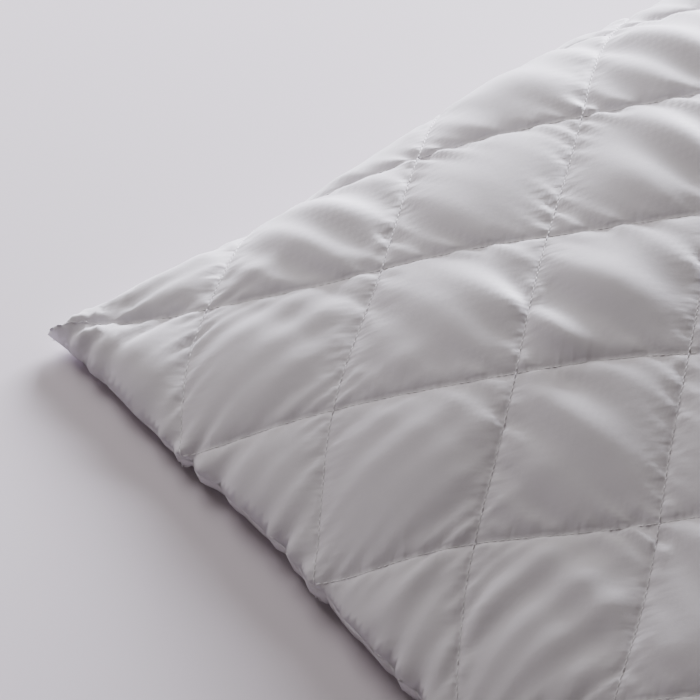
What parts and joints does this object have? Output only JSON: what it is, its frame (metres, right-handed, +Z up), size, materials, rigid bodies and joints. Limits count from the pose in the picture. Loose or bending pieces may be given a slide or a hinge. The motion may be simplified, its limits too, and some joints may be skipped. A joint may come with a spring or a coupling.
{
  "type": "bed pillow",
  "caption": "Quilted bed pillow: two diamond quilted microfibre panels sewn together round a soft fibre filling.",
  "frame": {"origin": "centre of the pillow's bounding box, on the plane that its underside rests on", "axes": "+X along the long side, +Y across the width, +Z up through the thickness"},
  "size_m": [0.6938, 0.4968, 0.1293],
  "materials": {
    "face_fabric": "brushed microfibre with a slight satin sheen",
    "wadding": "matt needled fleece",
    "backing": "thin matt nonwoven",
    "fibre": "matt hollow fibre filling",
    "thread": "spun polyester sewing thread"
  },
  "bodies": {
    "root": {"top_face_fabric": "face_fabric", "top_wadding": "wadding", "top_backing": "backing", "bottom_face_fabric": "face_fabric", "bottom_wadding": "wadding", "bottom_backing": "backing", "fibre_filling": "fibre", "top_quilting_thread_a1": "thread", "top_quilting_thread_a2": "thread", "top_quilting_thread_a3": "thread", "top_quilting_thread_a4": "thread", "top_quilting_thread_a5": "thread", "top_quilting_thread_a6": "thread", "top_quilting_thread_a7": "thread", "top_quilting_thread_a8": "thread", "top_quilting_thread_a9": "thread", "top_quilting_thread_a10": "thread", "top_quilting_thread_a11": "thread", "top_quilting_thread_b1": "thread", "top_quilting_thread_b2": "thread", "top_quilting_thread_b3": "thread", "top_quilting_thread_b4": "thread", "top_quilting_thread_b5": "thread", "top_quilting_thread_b6": "thread", "top_quilting_thread_b7": "thread", "top_quilting_thread_b8": "thread", "top_quilting_thread_b9": "thread", "top_quilting_thread_b10": "thread", "top_quilting_thread_b11": "thread", "bottom_quilting_thread_a1": "thread", "bottom_quilting_thread_a2": "thread", "bottom_quilting_thread_a3": "thread", "bottom_quilting_thread_a4": "thread", "bottom_quilting_thread_a5": "thread", "bottom_quilting_thread_a6": "thread", "bottom_quilting_thread_a7": "thread", "bottom_quilting_thread_a8": "thread", "bottom_quilting_thread_a9": "thread", "bottom_quilting_thread_a10": "thread", "bottom_quilting_thread_a11": "thread", "bottom_quilting_thread_b1": "thread", "bottom_quilting_thread_b2": "thread", "bottom_quilting_thread_b3": "thread", "bottom_quilting_thread_b4": "thread", "bottom_quilting_thread_b5": "thread", "bottom_quilting_thread_b6": "thread", "bottom_quilting_thread_b7": "thread", "bottom_quilting_thread_b8": "thread", "bottom_quilting_thread_b9": "thread", "bottom_quilting_thread_b10": "thread", "bottom_quilting_thread_b11": "thread", "edge_seam_thread": "thread", "closing_seam_thread": "thread"}
  },
  "joints": []
}
